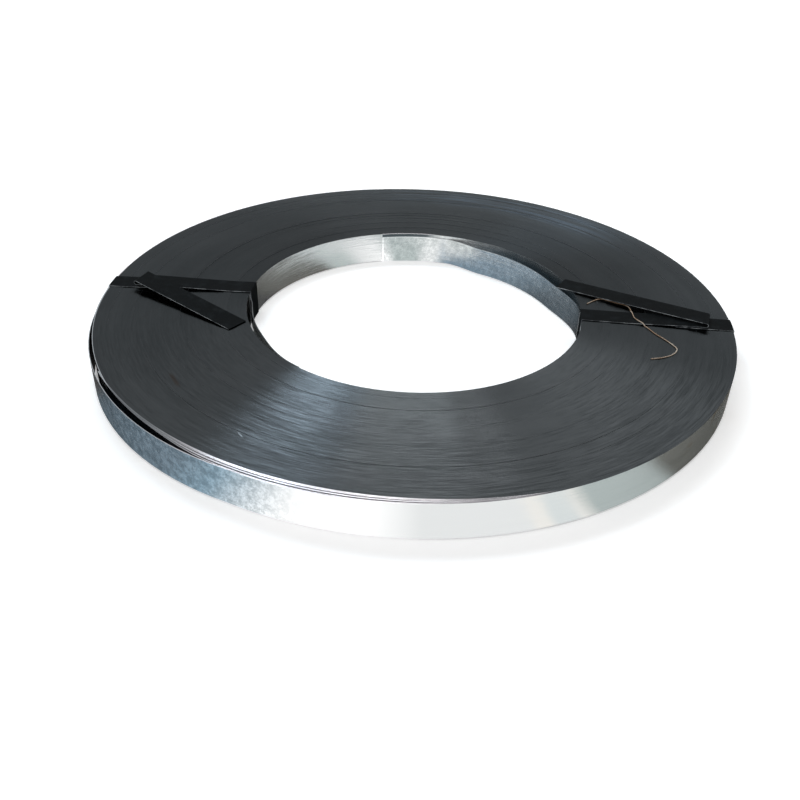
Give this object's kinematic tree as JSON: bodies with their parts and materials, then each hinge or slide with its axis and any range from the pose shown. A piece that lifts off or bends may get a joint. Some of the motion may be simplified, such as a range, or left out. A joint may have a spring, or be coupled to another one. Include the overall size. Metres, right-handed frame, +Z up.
{
  "type": "steel coil",
  "caption": "Flat-lying coil of slit galvanised steel strip with a round bore and a loose outer turn, tied with black steel straps whose folded tails lie on top.",
  "frame": {"origin": "on the axis of the bore, in the plane that the straps' undersides stand on", "axes": "+Z up along the coil's upright axis, +X out along the right strap, +Y to the back"},
  "size_m": [0.5612, 0.5595, 0.0377],
  "materials": {
    "galvanised_strip": "satin",
    "black_strap": "satin"
  },
  "bodies": {
    "root": {"coil": "galvanised_strip", "strap_left": "black_strap", "strap_right": "black_strap"}
  },
  "joints": []
}
